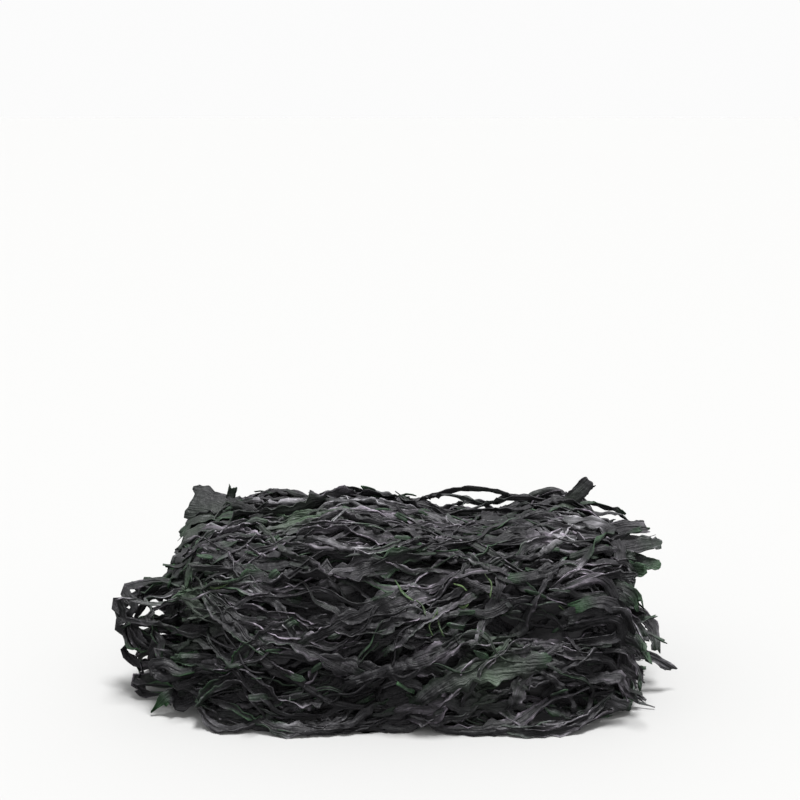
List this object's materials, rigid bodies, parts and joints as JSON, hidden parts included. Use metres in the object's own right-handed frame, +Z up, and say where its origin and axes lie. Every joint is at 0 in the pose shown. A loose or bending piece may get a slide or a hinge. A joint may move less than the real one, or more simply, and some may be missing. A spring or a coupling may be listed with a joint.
{
  "type": "dried wakame heap",
  "caption": "Long heap of dried wakame: shrivelled black-green seaweed strips, tangled and lying mostly one way, flat underneath where it rests.",
  "frame": {"origin": "middle of the heap's outline, on the surface that it rests on", "axes": "+X along the heap, to the right as the picture shows it; +Y away from the side that the picture shows; +Z up"},
  "size_m": [0.271, 0.1402, 0.0967],
  "materials": {
    "dried_seaweed": "dry, wrinkled and half matt, charcoal black with green at thin edges"
  },
  "bodies": {
    "root": {"wakame_heap": "dried_seaweed"}
  },
  "joints": []
}
